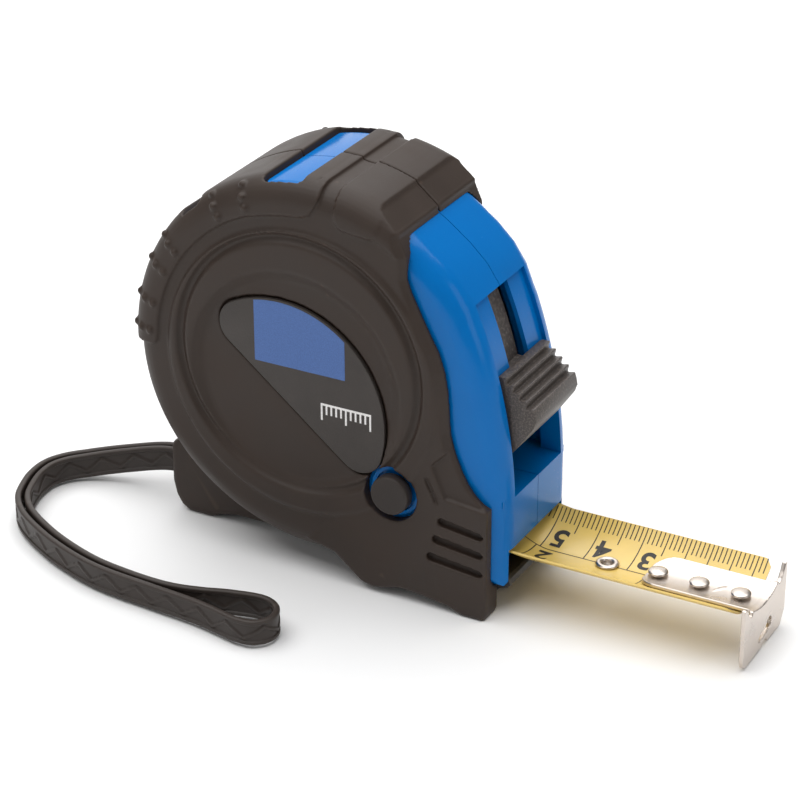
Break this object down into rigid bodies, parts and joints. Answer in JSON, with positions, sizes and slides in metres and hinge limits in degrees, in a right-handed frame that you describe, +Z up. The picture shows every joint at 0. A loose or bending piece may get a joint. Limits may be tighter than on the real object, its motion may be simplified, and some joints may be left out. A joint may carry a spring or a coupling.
{
  "type": "tape measure",
  "caption": "Pocket tape measure: round blue plastic case in a dark rubber grip, curved steel blade with riveted end hook, thumb lock, stop button, belt clip and wrist strap.",
  "frame": {"origin": "middle of the flat underside of the mouth shoe, on the surface the tool stands on", "axes": "+X out along the blade, +Y to the tool's left (the belt-clip side), +Z up"},
  "size_m": [0.1701, 0.0764, 0.0904],
  "materials": {
    "blue_abs": "gloss, moulded",
    "grip_rubber": "satin, soft moulded",
    "button_rubber": "satin",
    "dark_plastic": "fine texture",
    "strap_band": "satin",
    "tape_enamel": "yellow enamel under clear film",
    "nickel_plate": "nickel plate, satin",
    "spring_steel": "blued strip",
    "screw_steel": "zinc plate"
  },
  "bodies": {
    "case": {"right_case": "blue_abs", "left_case": "blue_abs", "right_grip": "grip_rubber", "left_grip": "grip_rubber", "mouth_shoe": "dark_plastic", "right_badge": "dark_plastic", "spindle": "dark_plastic", "case_screw_1": "screw_steel", "case_screw_2": "screw_steel", "case_screw_3": "screw_steel", "case_screw_4": "screw_steel", "belt_clip": "nickel_plate", "belt_clip_screw": "screw_steel", "strap_pin": "screw_steel", "stop_button_spring": "spring_steel", "wrist_strap": "strap_band"},
    "drum": {"drum_hub": "dark_plastic", "drum_flange_right": "dark_plastic", "drum_flange_left": "dark_plastic", "tape_coil": "tape_enamel", "mainspring": "spring_steel"},
    "blade": {"blade": "tape_enamel", "blade_eyelet": "nickel_plate"},
    "hook": {"end_hook": "nickel_plate", "hook_rivet_1": "nickel_plate", "hook_rivet_2": "nickel_plate", "hook_rivet_3": "nickel_plate"},
    "lock": {"lock_slider": "dark_plastic"},
    "button": {"stop_button": "button_rubber"}
  },
  "joints": [
    {"name": "spool_turn", "type": "hinge", "parent": "case", "child": "drum", "pos_m": [-0.032, 0, 0.0472], "axis": [0, -1, 0], "range_deg": [-94.5, 11.4]},
    {"name": "blade_slide", "type": "slide", "parent": "case", "child": "blade", "axis": [1, 0, 0], "range_m": [-0.0495, 0.006]},
    {"name": "hook_float", "type": "slide", "parent": "blade", "child": "hook", "axis": [1, 0, 0], "range_m": [-0.001, 0]},
    {"name": "lock_slide", "type": "hinge", "parent": "case", "child": "lock", "pos_m": [-0.1031, 0, 0.0219], "axis": [0, 1, 0], "range_deg": [0, 3.2]},
    {"name": "stop_button_press", "type": "slide", "parent": "case", "child": "button", "axis": [0, 1, 0], "range_m": [0, 0.0012], "stiffness_N_per_m": 800, "deforming": ["stop_button_spring"]}
  ],
  "couplings": [
    {"joint": "blade_slide", "follows": "spool_turn", "m_per_rad": 0.03}
  ]
}
